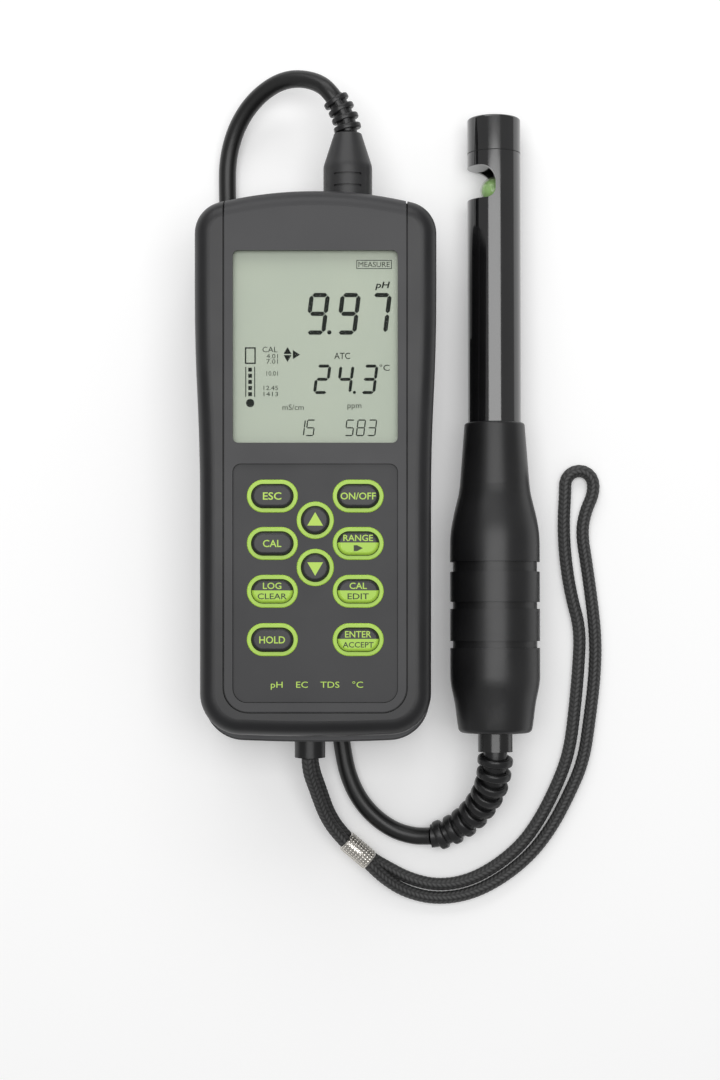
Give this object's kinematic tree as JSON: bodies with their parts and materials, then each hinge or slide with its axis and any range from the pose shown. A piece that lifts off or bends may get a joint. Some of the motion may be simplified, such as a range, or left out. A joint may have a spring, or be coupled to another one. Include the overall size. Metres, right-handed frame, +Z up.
{
  "type": "multiparameter water quality meter",
  "caption": "Hand-held water quality meter with a display and a keypad, a combined probe on a plugged cable and a crimped wrist strap.",
  "frame": {"origin": "on the table, under the middle of the meter and probe together", "axes": "+X to the meter's right, +Y towards its display end and the probe's tip, +Z up from the table"},
  "size_m": [0.1512, 0.3131, 0.0508],
  "materials": {
    "charcoal_shell": "fine matt",
    "grey_shell": "fine matt",
    "grip_rubber": "satin",
    "seal_rubber": "satin",
    "clear_lens": "clear",
    "lcd_glass": "reflective grey-green",
    "white_plastic": "matt",
    "circuit_board": "gloss",
    "black_plastic": "satin",
    "steel": "plain",
    "mat_rubber": "matt",
    "keypad_film": "fine matt",
    "ring_plastic": "satin",
    "plated_metal": "bright",
    "gold_contact": "bright",
    "cell_jacket": "gloss",
    "ferrule_metal": "satin",
    "braided_cord": "braided",
    "plug_plastic": "satin",
    "relief_plastic": "satin",
    "cable_jacket": "satin",
    "gland_plastic": "gloss",
    "handle_rubber": "satin",
    "tube_plastic": "gloss",
    "electrode_glass": "clear",
    "key_rubber": "satin"
  },
  "bodies": {
    "meter": {"front_shell": "charcoal_shell", "back_shell": "grey_shell", "grip_bumper": "grip_rubber", "shell_gasket": "seal_rubber", "display_lens": "clear_lens", "lcd_glass": "lcd_glass", "lcd_frame": "white_plastic", "backlight_panel": "white_plastic", "contact_strips": "seal_rubber", "main_board": "circuit_board", "board_parts": "black_plastic", "board_screws": "steel", "dome_mat": "mat_rubber", "keypad_overlay": "keypad_film", "key_rings": "ring_plastic", "socket_shell": "plated_metal", "socket_insert": "black_plastic", "socket_contacts": "gold_contact", "socket_nut": "plated_metal", "socket_seal": "seal_rubber", "batteries": "cell_jacket", "battery_contacts": "steel", "case_screws": "steel", "feet": "grip_rubber", "strap_collar": "ferrule_metal", "strap_ferrule": "black_plastic", "strap_crimp": "plated_metal", "strap_cord": "braided_cord"},
    "key_escape_body": {"key_escape": "key_rubber"},
    "key_power_body": {"key_power": "key_rubber"},
    "key_calibrate_body": {"key_calibrate": "key_rubber"},
    "key_range_body": {"key_range": "key_rubber"},
    "key_log_body": {"key_log": "key_rubber"},
    "key_edit_body": {"key_edit": "key_rubber"},
    "key_hold_body": {"key_hold": "key_rubber"},
    "key_enter_body": {"key_enter": "key_rubber"},
    "key_up_body": {"key_up": "key_rubber"},
    "key_down_body": {"key_down": "key_rubber"},
    "battery_door_body": {"battery_door": "grey_shell", "door_gasket": "seal_rubber"},
    "door_lock_body": {"door_lock": "black_plastic"},
    "probe_lead": {"plug_cover": "plug_plastic", "plug_insert": "black_plastic", "plug_pins": "gold_contact", "plug_relief": "relief_plastic", "probe_cable": "cable_jacket", "handle_relief": "relief_plastic", "cable_gland": "gland_plastic", "probe_handle": "handle_rubber", "probe_tube": "tube_plastic", "tube_seal": "seal_rubber", "electrode_holder": "black_plastic", "ph_stem": "electrode_glass", "ph_bulb": "electrode_glass", "ph_wire": "steel", "probe_board": "circuit_board", "temperature_sensor": "steel", "ec_pins": "steel"},
    "tip_cap_body": {"tip_cap": "tube_plastic"}
  },
  "joints": [
    {"name": "key_escape_press", "type": "slide", "parent": "meter", "child": "key_escape_body", "axis": [0, 0, -1], "range_m": [0, 0.0008], "stiffness_N_per_m": 1200, "springref_m": -0.0004},
    {"name": "key_power_press", "type": "slide", "parent": "meter", "child": "key_power_body", "axis": [0, 0, -1], "range_m": [0, 0.0008], "stiffness_N_per_m": 1200, "springref_m": -0.0004},
    {"name": "key_calibrate_press", "type": "slide", "parent": "meter", "child": "key_calibrate_body", "axis": [0, 0, -1], "range_m": [0, 0.0008], "stiffness_N_per_m": 1200, "springref_m": -0.0004},
    {"name": "key_range_press", "type": "slide", "parent": "meter", "child": "key_range_body", "axis": [0, 0, -1], "range_m": [0, 0.0008], "stiffness_N_per_m": 1200, "springref_m": -0.0004},
    {"name": "key_log_press", "type": "slide", "parent": "meter", "child": "key_log_body", "axis": [0, 0, -1], "range_m": [0, 0.0008], "stiffness_N_per_m": 1200, "springref_m": -0.0004},
    {"name": "key_edit_press", "type": "slide", "parent": "meter", "child": "key_edit_body", "axis": [0, 0, -1], "range_m": [0, 0.0008], "stiffness_N_per_m": 1200, "springref_m": -0.0004},
    {"name": "key_hold_press", "type": "slide", "parent": "meter", "child": "key_hold_body", "axis": [0, 0, -1], "range_m": [0, 0.0008], "stiffness_N_per_m": 1200, "springref_m": -0.0004},
    {"name": "key_enter_press", "type": "slide", "parent": "meter", "child": "key_enter_body", "axis": [0, 0, -1], "range_m": [0, 0.0008], "stiffness_N_per_m": 1200, "springref_m": -0.0004},
    {"name": "key_up_press", "type": "slide", "parent": "meter", "child": "key_up_body", "axis": [0, 0, -1], "range_m": [0, 0.0008], "stiffness_N_per_m": 1200, "springref_m": -0.0004},
    {"name": "key_down_press", "type": "slide", "parent": "meter", "child": "key_down_body", "axis": [0, 0, -1], "range_m": [0, 0.0008], "stiffness_N_per_m": 1200, "springref_m": -0.0004},
    {"name": "battery_door_lift", "type": "slide", "parent": "meter", "child": "battery_door_body", "axis": [0, 0, -1], "range_m": [0, 0.0063]},
    {"name": "door_lock_turn", "type": "hinge", "parent": "battery_door_body", "child": "door_lock_body", "pos_m": [-0.00925, -0.0055, 0.0096], "axis": [0, 0, 1], "range_deg": [0, 90]},
    {"name": "plug_pull", "type": "slide", "parent": "meter", "child": "probe_lead", "axis": [0, 1, 0], "range_m": [0, 0.012]},
    {"name": "tip_cap_pull", "type": "slide", "parent": "probe_lead", "child": "tip_cap_body", "axis": [0, 0.9992, -0.0408], "range_m": [0, 0.015]}
  ]
}
